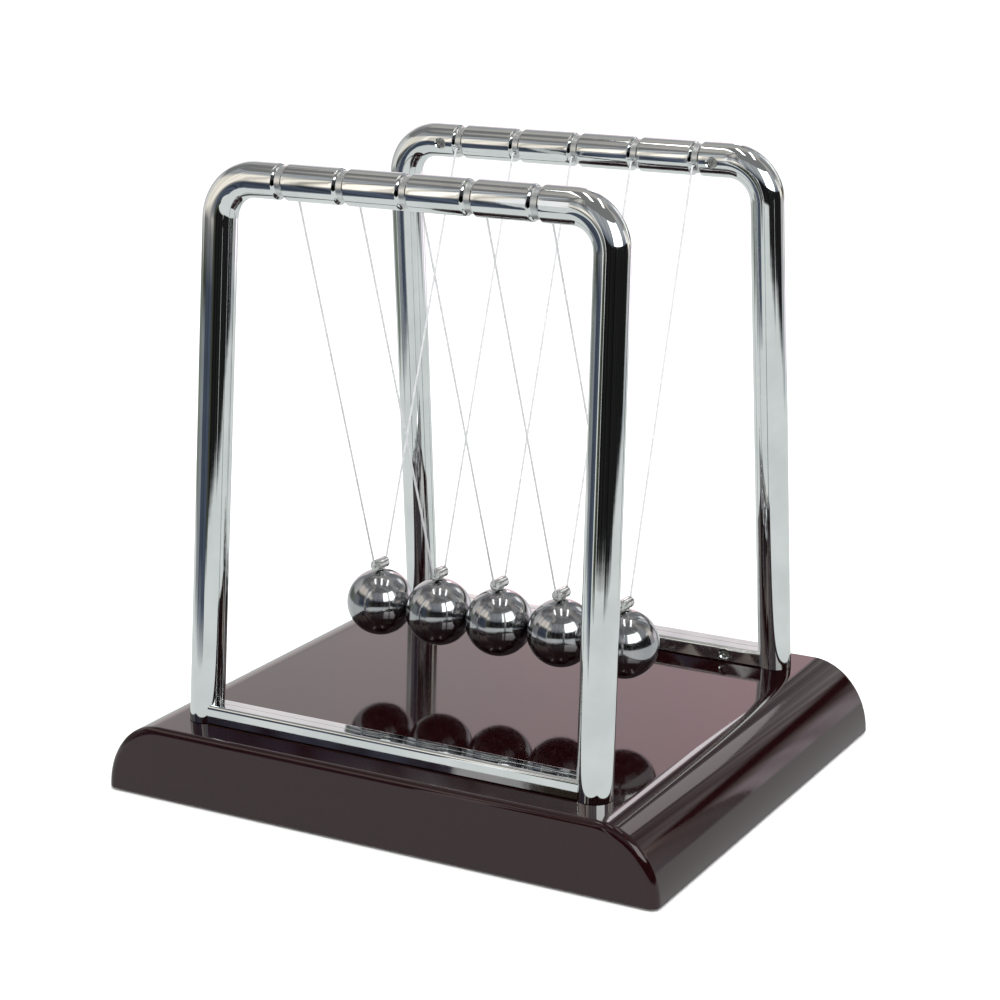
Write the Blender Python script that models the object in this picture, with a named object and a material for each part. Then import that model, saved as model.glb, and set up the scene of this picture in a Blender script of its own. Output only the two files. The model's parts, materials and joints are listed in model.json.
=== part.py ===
"""Newton's cradle: two chromed frames on a moulded base, with five hung steel balls.

Metres, +Z up. The origin is on the table, under the middle of the base. X runs along the
row of balls, and Y runs from the front frame (-Y) to the rear frame (+Y).
"""

import math

import bmesh
import bpy
from mathutils import Vector

MM = 0.001

# Base: a hollow cover, closed from below by a plate that stands on four rubber feet.
BASE_LENGTH = 176.0 * MM
BASE_DEPTH = 151.0 * MM
BASE_TOP = 21.6 * MM
RIM_BOTTOM = 0.8 * MM
ROLL_LENGTH = 18.0 * MM
TOP_EDGE_RADIUS = 2.0 * MM
CORNER_RADIUS = 2.6 * MM
COVER_WALL = 2.0 * MM
PLATE_BOTTOM = 1.6 * MM
PLATE_THICKNESS = 2.0 * MM
PLATE_CORNER_RADIUS = 3.0 * MM
FOOT_RADIUS = 6.0 * MM
FOOT_PLACE = Vector((74.0, 60.0, 0.0)) * MM
PLATE_SCREW_PLACE = Vector((74.0, 40.0, 0.0)) * MM

# Frames: round tube bent into an upright loop, which leans inwards and narrows upwards.
TUBE_RADIUS = 5.0 * MM
TUBE_WALL = 1.3 * MM
BEND_RADIUS = 11.5 * MM
FRAME_FOOT = Vector((62.4, 60.7, 0.0)) * MM
FRAME_TOP = Vector((60.2, 48.9, 0.0)) * MM
BAR_HEIGHT = 176.3 * MM
RAIL_HEIGHT = 5.2 * MM
RAIL_DEPTH = 8.6 * MM
RAIL_EDGE_RADIUS = 1.0 * MM
GROOVE_WIDTH = 3.4 * MM
GROOVE_DEPTH = 0.35 * MM
BAR_SCREW_X = 45.0 * MM
RAIL_SCREW_X = 47.5 * MM
RAIL_SCREW_HEIGHT = 2.9 * MM
PLUG_HEIGHT = 10.0 * MM

# Pendulums.
BALL_COUNT = 5
GROOVE_PITCH = 19.6 * MM
BALL_PITCH = 20.5 * MM
BALL_RADIUS = 10.1 * MM
BALL_HEIGHT = 43.1 * MM
SOCKET_RADIUS = 1.0 * MM
SOCKET_DEPTH = 2.6 * MM
EYE_RADIUS = 1.7 * MM
EYE_BORE = 0.5 * MM
EYE_LENGTH = 5.8 * MM
EYE_ABOVE_BALL = 1.8 * MM
LINE_RADIUS = 0.25 * MM
LINE_HOLE_RADIUS = 0.7 * MM
LINE_HOLE_DROP = 1.7 * MM
KNOT_RADIUS = 0.9 * MM
LINE_BEND_RADIUS = 0.5 * MM

GAP = 0.3 * MM
MERGE = 0.001 * MM
SMOOTH_ANGLE = math.radians(35)

LEAN = math.atan2(FRAME_FOOT.y - FRAME_TOP.y, BAR_HEIGHT - BASE_TOP)
FRAME_RISE = math.hypot(FRAME_FOOT.y - FRAME_TOP.y, BAR_HEIGHT - BASE_TOP)
COVER_CEILING = BASE_TOP - COVER_WALL
EYE_HEIGHT = BALL_HEIGHT + BALL_RADIUS + EYE_ABOVE_BALL
PIVOT_HEIGHT = BAR_HEIGHT - LINE_HOLE_DROP
QUARTERS = [("front_left", -1, -1), ("front_right", 1, -1), ("rear_left", -1, 1), ("rear_right", 1, 1)]


def clear_scene():
    for old in list(bpy.data.objects):
        bpy.data.objects.remove(old, do_unlink=True)


def make_material(name, colour, roughness, metallic=0.0):
    material = bpy.data.materials.new(name)
    material.use_nodes = True
    shader = material.node_tree.nodes["Principled BSDF"]
    shader.inputs["Base Color"].default_value = (*colour, 1.0)
    shader.inputs["Roughness"].default_value = roughness
    shader.inputs["Metallic"].default_value = metallic
    return material


def add_object(name, data, material=None, parent=None, location=(0, 0, 0), rotation=(0, 0, 0)):
    thing = bpy.data.objects.new(name, data)
    bpy.context.scene.collection.objects.link(thing)
    thing.parent = parent
    thing.location = location
    thing.rotation_euler = rotation
    if material:
        data.materials.clear()
        data.materials.append(material)
    return thing


def add_helper(name, data, parent=None, location=(0, 0, 0), rotation=(0, 0, 0)):
    """A guide or cutter, which isn't a piece of the object."""
    helper = add_object(name, data, None, parent, location, rotation)
    helper.hide_render = True
    helper.display_type = "WIRE"
    return helper


def finish_mesh(name, bm):
    """Close up the bmesh, turn its faces outwards and give it as a smooth-shaded mesh."""
    bmesh.ops.remove_doubles(bm, verts=bm.verts, dist=MERGE)
    bmesh.ops.recalc_face_normals(bm, faces=bm.faces)
    mesh = bpy.data.meshes.new(name)
    bm.to_mesh(mesh)
    bm.free()
    mesh.shade_smooth()
    mesh.set_sharp_from_angle(angle=SMOOTH_ANGLE)
    return mesh


def turned_mesh(name, profile, segments):
    """Turn a profile of (radius, height) points about Z. It starts and ends on the axis."""
    bm = bmesh.new()
    points = [bm.verts.new((radius, 0.0, height)) for radius, height in profile]
    edges = [bm.edges.new(pair) for pair in zip(points, points[1:])]
    bmesh.ops.spin(
        bm,
        geom=points + edges,
        cent=(0, 0, 0),
        axis=(0, 0, 1),
        angle=2 * math.pi,
        steps=segments,
        use_merge=True,
    )
    return finish_mesh(name, bm)


def cylinder_profile(radius, low, high):
    return [(0, low), (radius, low), (radius, high), (0, high)]


def rods_mesh(name, rods, segments):
    """One mesh of separate round rods, each given as (start, end, radius)."""
    bm = bmesh.new()
    for start, end, radius in rods:
        axis = end - start
        turn = axis.to_track_quat("Z", "Y").to_matrix().to_4x4()
        turn.translation = (start + end) / 2
        bmesh.ops.create_cone(
            bm,
            cap_ends=True,
            segments=segments,
            radius1=radius,
            radius2=radius,
            depth=axis.length,
            matrix=turn,
        )
    return finish_mesh(name, bm)


def box_mesh(name, low, high):
    bm = bmesh.new()
    bmesh.ops.create_cube(bm, size=1.0)
    size = Vector(high) - Vector(low)
    middle = (Vector(high) + Vector(low)) / 2
    for vert in bm.verts:
        vert.co = Vector(a * b for a, b in zip(vert.co, size)) + middle
    return finish_mesh(name, bm)


def loft_mesh(name, rings):
    """Skin a list of rings of equal length, and cap the first and the last."""
    bm = bmesh.new()
    loops = [[bm.verts.new(point) for point in ring] for ring in rings]
    count = len(rings[0])
    for near, far in zip(loops, loops[1:]):
        for i in range(count):
            j = (i + 1) % count
            bm.faces.new((near[i], near[j], far[j], far[i]))
    bm.faces.new(loops[0])
    bm.faces.new(loops[-1])
    return finish_mesh(name, bm)


def combine(target, other, operation):
    modifier = target.modifiers.new(f"{operation.lower()}_{other.name}", "BOOLEAN")
    modifier.operation = operation
    modifier.solver = "EXACT"
    modifier.object = other


def add_bevel(thing, width, segments):
    bevel = thing.modifiers.new("edges", "BEVEL")
    bevel.width = width
    bevel.segments = segments
    bevel.limit_method = "ANGLE"


def baked_mesh(thing, name):
    """The object's mesh with its modifiers applied, for copies to share."""
    graph = bpy.context.evaluated_depsgraph_get()
    mesh = bpy.data.meshes.new_from_object(thing.evaluated_get(graph))
    mesh.name = name
    mesh.shade_smooth()
    mesh.set_sharp_from_angle(angle=SMOOTH_ANGLE)
    return mesh


def rounded_route(corners, radius, steps):
    """Points along straight runs whose inner corners are arcs of the given radius."""
    route = [corners[0]]
    for before, corner, after in zip(corners, corners[1:], corners[2:]):
        back = (before - corner).normalized()
        ahead = (after - corner).normalized()
        half = back.angle(ahead) / 2
        centre = corner + (back + ahead).normalized() * radius / math.sin(half)
        start = corner + back * radius / math.tan(half) - centre
        end = corner + ahead * radius / math.tan(half) - centre
        sweep = start.angle(end)
        for step in range(steps + 1):
            t = step / steps
            weight = math.sin((1 - t) * sweep), math.sin(t * sweep)
            route.append(centre + (start * weight[0] + end * weight[1]) / math.sin(sweep))
    return route + [corners[-1]]


# ---------------------------------------------------------------- base


def rounding(distance, radius):
    """How far a rounded edge stands back, at a distance in from the flat face beside it."""
    if distance >= radius:
        return 0.0
    return radius - math.sqrt(radius**2 - (radius - distance) ** 2)


def base_section(y, inset, bottom, arc_steps):
    """The base's outline across X at one depth: a flat top with a quarter ellipse at each end."""
    from_face = BASE_DEPTH / 2 - inset - abs(y)
    half_length = BASE_LENGTH / 2 - inset - rounding(from_face, CORNER_RADIUS - inset)
    top = BASE_TOP - inset - rounding(from_face, max(TOP_EDGE_RADIUS - inset, 0.2 * MM))
    roll = ROLL_LENGTH - inset
    rise = top - RIM_BOTTOM
    arc = [math.pi / 2 * step / arc_steps for step in range(arc_steps + 1)]
    right = [(half_length - roll * (1 - math.cos(a)), RIM_BOTTOM + rise * math.sin(a)) for a in arc]
    right = [(half_length, bottom)] + right if bottom < RIM_BOTTOM else right
    outline = right + [(-x, z) for x, z in reversed(right)]
    return [Vector((x, y, z)) for x, z in outline]


def base_solid(name, inset, bottom, arc_steps):
    """The base's full shape, or with an inset the space inside its walls."""
    radius = CORNER_RADIUS - inset
    steps = 5
    depths = [radius * (1 - math.cos(math.pi / 2 * step / steps)) for step in range(steps + 1)]
    face = BASE_DEPTH / 2 - inset
    stations = [depth - face for depth in depths] + [face - depth for depth in reversed(depths)]
    return loft_mesh(name, [base_section(y, inset, bottom, arc_steps) for y in stations])


def make_base_cover(material):
    cover = add_object("base_cover", base_solid("base_cover", 0.0, RIM_BOTTOM, 10), material)
    space = add_helper("cover_space", base_solid("cover_space", COVER_WALL, -5 * MM, 6))
    combine(cover, space, "DIFFERENCE")

    boss_low = PLATE_BOTTOM + PLATE_THICKNESS + GAP
    bosses = []
    bores = []
    for _, side, end in QUARTERS:
        place = Vector((side * PLATE_SCREW_PLACE.x, end * PLATE_SCREW_PLACE.y, 0))
        bosses.append((place + Vector((0, 0, boss_low)), place + Vector((0, 0, BASE_TOP - 1 * MM)), 3.0 * MM))
        bores.append((place, place + Vector((0, 0, 13 * MM)), 1.3 * MM))
        leg = Vector((side * FRAME_FOOT.x, end * FRAME_FOOT.y, 0))
        bores.append((leg + Vector((0, 0, 15 * MM)), leg + Vector((0, 0, 25 * MM)), 1.6 * MM))
    combine(cover, add_helper("cover_bosses", rods_mesh("cover_bosses", bosses, 12)), "UNION")
    combine(cover, add_helper("cover_bores", rods_mesh("cover_bores", bores, 12)), "DIFFERENCE")


def make_bottom_plate(material):
    half_length = BASE_LENGTH / 2 - COVER_WALL - 0.8 * MM
    half_depth = BASE_DEPTH / 2 - COVER_WALL - 0.4 * MM
    radius = PLATE_CORNER_RADIUS
    outline = []
    for quarter in range(4):
        sign_x = 1 if quarter in (0, 3) else -1
        sign_y = 1 if quarter in (0, 1) else -1
        for step in range(5):
            angle = math.pi / 2 * (quarter + step / 4)
            x = sign_x * (half_length - radius) + radius * math.cos(angle)
            y = sign_y * (half_depth - radius) + radius * math.sin(angle)
            outline.append((x, y))
    levels = (PLATE_BOTTOM, PLATE_BOTTOM + PLATE_THICKNESS)
    rings = [[Vector((x, y, z)) for x, y in outline] for z in levels]
    plate = add_object("base_bottom_plate", loft_mesh("base_bottom_plate", rings), material)

    seat = [(0, -1 * MM), (3.0 * MM, -1 * MM), (3.0 * MM, 0), (1.4 * MM, 1.6 * MM)]
    seat += [(1.4 * MM, 4 * MM), (0, 4 * MM)]
    seat_mesh = turned_mesh("plate_screw_seat", seat, 12)
    for quarter, side, end in QUARTERS:
        place = (side * PLATE_SCREW_PLACE.x, end * PLATE_SCREW_PLACE.y, PLATE_BOTTOM)
        combine(plate, add_helper(f"plate_seat_{quarter}", seat_mesh, None, place), "DIFFERENCE")


def make_feet(material):
    height = PLATE_BOTTOM - GAP
    profile = [
        (0, 0),
        (FOOT_RADIUS - 0.3 * MM, 0),
        (FOOT_RADIUS, 0.3 * MM),
        (FOOT_RADIUS, height),
        (0, height),
    ]
    mesh = turned_mesh("rubber_foot", profile, 20)
    for quarter, side, end in QUARTERS:
        place = (side * FOOT_PLACE.x, end * FOOT_PLACE.y, 0)
        add_object(f"rubber_foot_{quarter}", mesh, material, None, place)


# ---------------------------------------------------------------- screws


def cross_head(name, profile, head, drive_radius, drive_depth):
    """A turned screw, head up at the given height, with a cross-shaped driver recess."""
    blank = add_helper(f"{name}_blank", turned_mesh(name, profile, 10))
    width = 0.3 * drive_radius
    slots = ((drive_radius, width), (width, drive_radius))
    for number, (reach_x, reach_y) in enumerate(slots):
        low = (-reach_x, -reach_y, head - drive_depth)
        high = (reach_x, reach_y, head + drive_depth)
        slot = add_helper(f"{name}_slot_{number}", box_mesh(f"{name}_slot", low, high))
        combine(blank, slot, "DIFFERENCE")
    return baked_mesh(blank, name)


def make_plate_screws(material):
    """Countersunk screws that hold the plate up against the cover's bosses."""
    profile = [(0, -10 * MM), (0.3 * MM, -10 * MM), (1.0 * MM, -8.5 * MM), (1.0 * MM, -1.6 * MM)]
    profile += [(2.2 * MM, -0.4 * MM), (2.2 * MM, 0), (0, 0)]
    mesh = cross_head("plate_screw", profile, 0.0, 1.2 * MM, 0.7 * MM)
    for quarter, side, end in QUARTERS:
        place = (side * PLATE_SCREW_PLACE.x, end * PLATE_SCREW_PLACE.y, PLATE_BOTTOM + 0.1 * MM)
        add_object(f"plate_screw_{quarter}", mesh, material, None, place, (math.pi, 0, 0))


def make_leg_screws(material):
    """Pan-head screws under the cover's ceiling, up into the plug at the foot of each leg."""
    profile = [(0, -10 * MM), (0.4 * MM, -10 * MM), (1.3 * MM, -8.5 * MM), (1.3 * MM, 0)]
    profile += [(2.8 * MM, 0), (2.8 * MM, 1.2 * MM), (2.1 * MM, 1.9 * MM), (0, 1.9 * MM)]
    mesh = cross_head("leg_screw", profile, 1.9 * MM, 1.5 * MM, 1.0 * MM)
    for quarter, side, end in QUARTERS:
        place = (side * FRAME_FOOT.x, end * FRAME_FOOT.y, COVER_CEILING - GAP)
        add_object(f"leg_screw_{quarter}", mesh, material, None, place, (math.pi, 0, 0))


# ---------------------------------------------------------------- frames


def groove_stations():
    """(x, radius) along the top bar, where each line's groove runs round it."""
    half = GROOVE_WIDTH / 2
    floor = TUBE_RADIUS - GROOVE_DEPTH
    steps = ((-half - 0.2 * MM, TUBE_RADIUS), (-half + 0.2 * MM, floor), (half - 0.2 * MM, floor))
    steps += ((half + 0.2 * MM, TUBE_RADIUS),)
    return [(x + across, radius) for x in row_places(GROOVE_PITCH) for across, radius in steps]


def row_places(pitch):
    """Five places along X, centred. The grooves stand a little closer than the balls, which
    push each other apart, so the outer balls hang slightly outwards."""
    return [(number - (BALL_COUNT - 1) / 2) * pitch for number in range(BALL_COUNT)]


def tube_mesh(name, start, radius, grooved, sides, bend_steps):
    """The frame's round tube or the hollow in it, up one leg, over and down the other."""
    slope = (FRAME_TOP.x - FRAME_FOOT.x) / FRAME_RISE
    foot_x = FRAME_FOOT.x + slope * start
    corners = [(-foot_x, start), (-FRAME_TOP.x, FRAME_RISE), (FRAME_TOP.x, FRAME_RISE), (foot_x, start)]
    route = rounded_route([Vector((x, 0, z)) for x, z in corners], BEND_RADIUS, bend_steps)
    middle = len(route) // 2
    grooves = [(Vector((x, 0, FRAME_RISE)), r) for x, r in groove_stations()] if grooved else []
    stops = [(p, radius) for p in route[:middle]] + grooves + [(p, radius) for p in route[middle:]]

    centres = [stop[0] for stop in stops]
    ahead = centres[1:] + [centres[-1]]
    behind = [centres[0]] + centres[:-1]
    rings = []
    for (centre, size), after, before in zip(stops, ahead, behind):
        sideways = (after - before).normalized().cross(Vector((0, 1, 0)))
        angles = [2 * math.pi * side / sides for side in range(sides)]
        rings.append(
            [centre + size * (math.cos(a) * sideways + math.sin(a) * Vector((0, 1, 0))) for a in angles]
        )
    return loft_mesh(name, rings)


def screw_rods(parts, place, y_ranges):
    """Rods along Y at the two screws of one bar, for (from y, to y, radius) in y_ranges."""
    across, height = place
    for x in (-across, across):
        for low, high, radius in y_ranges:
            parts.append((Vector((x, low, height)), Vector((x, high, height)), radius))


def make_frame(label, turn, material, screw_material, screw_mesh, table):
    """One frame: an outer and an inner half shell, screwed together from the inner side.

    In the frame's own space -Y points outwards, and Z runs up along the leaning legs.
    """
    facing = -1 if turn == 0 else 1
    stand = add_helper(
        f"{label}_frame_stand", None, None, (0, facing * FRAME_FOOT.y, BASE_TOP), (-LEAN, 0, turn)
    )
    rail_low = -2 * MM
    rail = box_mesh(
        "rail", (-FRAME_FOOT.x, -RAIL_DEPTH / 2, rail_low), (FRAME_FOOT.x, RAIL_DEPTH / 2, RAIL_HEIGHT)
    )
    rail = add_helper(f"{label}_rail", rail, stand)
    add_bevel(rail, RAIL_EDGE_RADIUS, 2)
    bar_screw = (BAR_SCREW_X, FRAME_RISE)
    rail_screw = (RAIL_SCREW_X, RAIL_SCREW_HEIGHT)

    halves = {}
    for half, sign in (("outer", -1), ("inner", 1)):
        name = f"{label}_frame_{half}_shell"
        shell = add_object(name, tube_mesh(name, -2 * MM, TUBE_RADIUS, True, 20, 7), material, stand)
        combine(shell, rail, "UNION")
        hollow_start = PLUG_HEIGHT if half == "outer" else -4 * MM
        hollow = tube_mesh(f"{name}_hollow", hollow_start, TUBE_RADIUS - TUBE_WALL, False, 12, 4)
        combine(shell, add_helper(f"{name}_hollow", hollow, stand), "DIFFERENCE")
        reach = sorted((sign * GAP / 2, sign * 20 * MM))
        keep = box_mesh(f"{name}_keep", (-0.1, reach[0], -0.01), (0.1, reach[1], 0.2))
        combine(shell, add_helper(f"{name}_keep", keep, stand), "INTERSECT")
        halves[half] = shell

    # The outer half holds the bosses and the foot plugs, which reach over the seam.
    solids = []
    screw_rods(solids, bar_screw, [(-4.0 * MM, 1.1 * MM, 2.2 * MM)])
    plug_radius = TUBE_RADIUS - TUBE_WALL - GAP
    for side in (-1, 1):
        foot = Vector((side * FRAME_FOOT.x, 0, -1 * MM))
        solids.append((foot, foot + Vector((0, 0, PLUG_HEIGHT)), plug_radius))
    combine(halves["outer"], add_helper(f"{label}_bosses", rods_mesh("bosses", solids, 12), stand), "UNION")
    bores = []
    screw_rods(bores, bar_screw, [(-2.8 * MM, 3.0 * MM, 1.1 * MM)])
    screw_rods(bores, rail_screw, [(-3.0 * MM, 3.0 * MM, 1.1 * MM)])
    combine(halves["outer"], add_helper(f"{label}_pilots", rods_mesh("pilots", bores, 10), stand), "DIFFERENCE")
    leg_bores = []
    for side in (-1, 1):
        leg = Vector((side * FRAME_FOOT.x, facing * FRAME_FOOT.y, BASE_TOP))
        leg_bores.append((leg - Vector((0, 0, 2 * MM)), leg + Vector((0, 0, 8.5 * MM)), 1.6 * MM))
    leg_cutter = add_helper(f"{label}_leg_bores", rods_mesh("leg_bores", leg_bores, 10))
    combine(halves["outer"], leg_cutter, "DIFFERENCE")

    # The inner half holds the screw seats and a hole for each line.
    pads = []
    screw_rods(pads, bar_screw, [(1.4 * MM, 4.0 * MM, 2.7 * MM)])
    combine(halves["inner"], add_helper(f"{label}_pads", rods_mesh("pads", pads, 12), stand), "UNION")
    seats = []
    for place, seat in ((bar_screw, 3.1 * MM), (rail_screw, 3.0 * MM)):
        screw_rods(seats, place, [(seat, 8 * MM, 1.9 * MM)])
    combine(halves["inner"], add_helper(f"{label}_seats", rods_mesh("seats", seats, 14), stand), "DIFFERENCE")
    clearances = []
    for place in (bar_screw, rail_screw):
        screw_rods(clearances, place, [(-1 * MM, 3.6 * MM, 1.15 * MM)])
    clearances = rods_mesh("clearances", clearances, 10)
    combine(halves["inner"], add_helper(f"{label}_clearances", clearances, stand), "DIFFERENCE")
    line_holes = []
    for x in row_places(GROOVE_PITCH):
        inside = Vector((x, facing * (FRAME_TOP.y - 2 * MM), PIVOT_HEIGHT))
        line_holes.append((inside, inside - Vector((0, facing * 5 * MM, 0)), LINE_HOLE_RADIUS))
    line_holes = add_helper(f"{label}_line_holes", rods_mesh("line_holes", line_holes, 8))
    combine(halves["inner"], line_holes, "DIFFERENCE")

    for shell in halves.values():
        combine(shell, table, "DIFFERENCE")

    for level, screw, depth in (("top", bar_screw, 3.4 * MM), ("rail", rail_screw, 3.3 * MM)):
        across, height = screw
        for side, sign in (("left", -1), ("right", 1)):
            place = (sign * facing * -across, depth, height)
            name = f"{label}_frame_screw_{level}_{side}"
            add_object(name, screw_mesh, screw_material, stand, place, (-math.pi / 2, 0, 0))


def make_frames(material, screw_material):
    """The front frame and the rear frame, which is the front one turned round."""
    table = box_mesh("base_top_plane", (-0.1, -0.1, 0.0), (0.1, 0.1, BASE_TOP + GAP / 2))
    table = add_helper("base_top_plane", table)
    profile = [(0, -5.6 * MM), (0.3 * MM, -5.6 * MM), (0.85 * MM, -4.6 * MM), (0.85 * MM, 0)]
    profile += [(1.6 * MM, 0), (1.6 * MM, 0.7 * MM), (1.2 * MM, 1.1 * MM), (0, 1.1 * MM)]
    screw_mesh = cross_head("frame_screw", profile, 1.1 * MM, 0.9 * MM, 0.6 * MM)
    make_frame("front", 0, material, screw_material, screw_mesh, table)
    make_frame("rear", math.pi, material, screw_material, screw_mesh, table)


# ---------------------------------------------------------------- pendulums


def ball_mesh():
    """A ball with a small blind socket in its top for the hanger's stud."""
    rim = math.acos(SOCKET_RADIUS / BALL_RADIUS)
    steps = 12
    latitudes = [math.pi * (step / steps - 0.5) for step in range(steps)] + [rim]
    profile = [(0, -BALL_RADIUS)]
    profile += [(BALL_RADIUS * math.cos(a), BALL_RADIUS * math.sin(a)) for a in latitudes[1:]]
    floor = BALL_RADIUS * math.sin(rim) - SOCKET_DEPTH
    profile += [(SOCKET_RADIUS, floor), (0, floor)]
    return turned_mesh("ball", profile, 24)


def hanger_mesh():
    """A stud and collar with a short cross tube on top, measured from the ball's centre."""
    top = BALL_RADIUS + EYE_ABOVE_BALL
    stud = BALL_RADIUS - SOCKET_DEPTH + 0.5 * MM
    collar = BALL_RADIUS + 0.15 * MM
    profile = [(0, stud), (0.75 * MM, stud), (0.75 * MM, collar), (1.3 * MM, collar)]
    profile += [(1.3 * MM, collar + 0.35 * MM), (0.9 * MM, top), (0, top)]
    neck = add_helper("hanger_neck", turned_mesh("hanger_neck", profile, 12))
    half = EYE_LENGTH / 2
    eye = [(Vector((0, -half, top)), Vector((0, half, top)), EYE_RADIUS)]
    bore = [(Vector((0, -2 * half, top)), Vector((0, 2 * half, top)), EYE_BORE)]
    combine(neck, add_helper("hanger_eye", rods_mesh("hanger_eye", eye, 12)), "UNION")
    combine(neck, add_helper("hanger_bore", rods_mesh("hanger_bore", bore, 8)), "DIFFERENCE")
    return baked_mesh(neck, "ball_hanger")


def line_route(drift):
    """(place, radius) along a line, from the knot in the front bar to the knot in the rear bar.

    The line leaves each bar along the axis that it swings about, so it turns in its holes.
    Drift is how far along X its ball hangs from that axis.
    """
    bar_face = FRAME_TOP.y - math.sqrt(TUBE_RADIUS**2 - LINE_HOLE_DROP**2)
    wall_inside = FRAME_TOP.y - math.sqrt((TUBE_RADIUS - TUBE_WALL) ** 2 - LINE_HOLE_DROP**2)
    end = wall_inside + 2.0 * MM
    eye_end = EYE_LENGTH / 2 + 0.2 * MM
    drop = EYE_HEIGHT - PIVOT_HEIGHT
    corners = [(0, -end, 0), (0, -bar_face + 0.5 * MM, 0), (drift, -eye_end, drop)]
    corners += [(x, -y, z) for x, y, z in reversed(corners)]
    route = rounded_route([Vector(corner) for corner in corners], LINE_BEND_RADIUS, 2)
    knot = [(0.0, 0.4), (0.35, 1.0), (0.8, 1.0), (1.6, LINE_RADIUS / KNOT_RADIUS)]
    front = [(Vector((0, along * MM - end, 0)), size * KNOT_RADIUS) for along, size in knot]
    rear = [(Vector((0, -point.y, 0)), size) for point, size in reversed(front)]
    return front + [(point, LINE_RADIUS) for point in route[1:-1]] + rear


def line_curve(name, drift):
    curve = bpy.data.curves.new(name, "CURVE")
    curve.dimensions = "3D"
    curve.bevel_depth = LINE_RADIUS
    curve.bevel_resolution = 2
    curve.use_fill_caps = True
    stops = line_route(drift)
    spline = curve.splines.new("POLY")
    spline.points.add(len(stops) - 1)
    for point, (place, radius) in zip(spline.points, stops):
        point.co = (*place, 1.0)
        point.radius = radius / LINE_RADIUS
    return curve


def make_pendulums(ball_material, hanger_material, line_material):
    """Each ball, its hanger and its line turn about a pivot at the height of the line's holes."""
    ball = ball_mesh()
    hanger = hanger_mesh()
    places = zip(row_places(GROOVE_PITCH), row_places(BALL_PITCH))
    for number, (groove_x, ball_x) in enumerate(places, start=1):
        pivot = add_helper(f"ball_{number}_pivot", None, None, (groove_x, 0, PIVOT_HEIGHT))
        hanging = (ball_x - groove_x, 0, BALL_HEIGHT - PIVOT_HEIGHT)
        add_object(f"ball_{number}", ball, ball_material, pivot, hanging)
        add_object(f"ball_hanger_{number}", hanger, hanger_material, pivot, hanging)
        name = f"suspension_line_{number}"
        add_object(name, line_curve(name, ball_x - groove_x), line_material, pivot)


def main():
    clear_scene()
    burgundy = make_material("burgundy_gloss", (0.060, 0.018, 0.020), 0.12)
    black = make_material("black_plastic", (0.020, 0.020, 0.020), 0.55)
    chrome = make_material("chrome_plate", (0.80, 0.81, 0.82), 0.06, 1.0)
    steel = make_material("polished_steel", (0.56, 0.56, 0.57), 0.08, 1.0)
    zinc = make_material("zinc_steel", (0.62, 0.62, 0.60), 0.30, 1.0)
    rubber = make_material("black_rubber", (0.025, 0.025, 0.025), 0.80)
    nylon = make_material("clear_nylon", (0.80, 0.80, 0.80), 0.20)
    make_base_cover(burgundy)
    make_bottom_plate(black)
    make_feet(rubber)
    make_plate_screws(zinc)
    make_leg_screws(zinc)
    make_frames(chrome, zinc)
    make_pendulums(steel, chrome, nylon)


main()
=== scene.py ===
"""Newton's cradle: the looks of every piece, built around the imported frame.

Metres, +Z up, in the frame's own axes: X runs along the row of balls, and Y from the front
frame (-Y) to the rear frame (+Y).
"""

import json
import math

import bmesh
import bpy
from mathutils import Euler, Matrix, Vector, noise


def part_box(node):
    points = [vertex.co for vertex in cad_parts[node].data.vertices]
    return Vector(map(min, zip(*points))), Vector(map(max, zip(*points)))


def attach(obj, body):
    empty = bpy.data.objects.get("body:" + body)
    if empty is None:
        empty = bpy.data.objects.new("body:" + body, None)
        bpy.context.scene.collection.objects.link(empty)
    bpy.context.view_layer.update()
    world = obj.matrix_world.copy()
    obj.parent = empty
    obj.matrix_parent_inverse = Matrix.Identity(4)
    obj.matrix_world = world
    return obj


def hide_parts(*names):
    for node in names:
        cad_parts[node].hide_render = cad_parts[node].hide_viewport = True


MM = 0.001

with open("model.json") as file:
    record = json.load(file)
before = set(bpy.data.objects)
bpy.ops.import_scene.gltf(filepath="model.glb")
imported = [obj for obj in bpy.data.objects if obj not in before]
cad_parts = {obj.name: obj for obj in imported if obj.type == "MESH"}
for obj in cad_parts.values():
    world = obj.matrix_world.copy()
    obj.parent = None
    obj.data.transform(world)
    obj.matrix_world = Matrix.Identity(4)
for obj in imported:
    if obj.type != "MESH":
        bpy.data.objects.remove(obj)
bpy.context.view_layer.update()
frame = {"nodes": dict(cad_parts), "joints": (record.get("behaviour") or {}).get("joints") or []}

# Base, read from its node. The roll is the quarter ellipse at each end.
BASE_LOW, BASE_HIGH = (Vector(corner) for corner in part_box("base_cover"))
BASE_TOP = BASE_HIGH.z
RIM_BOTTOM = BASE_LOW.z
HALF_LENGTH = BASE_HIGH.x
HALF_DEPTH = BASE_HIGH.y
ROLL_LENGTH = 18.0 * MM
TOP_EDGE_RADIUS = 2.0 * MM
LEAST_EDGE_RADIUS = 0.2 * MM
CORNER_RADIUS = 2.6 * MM
COVER_WALL = 2.0 * MM
ROLL_STEPS = 24
CORNER_STEPS = 12
FLAT_STEPS = 12
CORNERS = [(end, side) for side in ("left", "right") for end in ("front", "rear")]
FOOT_DISH = 0.25 * MM

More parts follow.
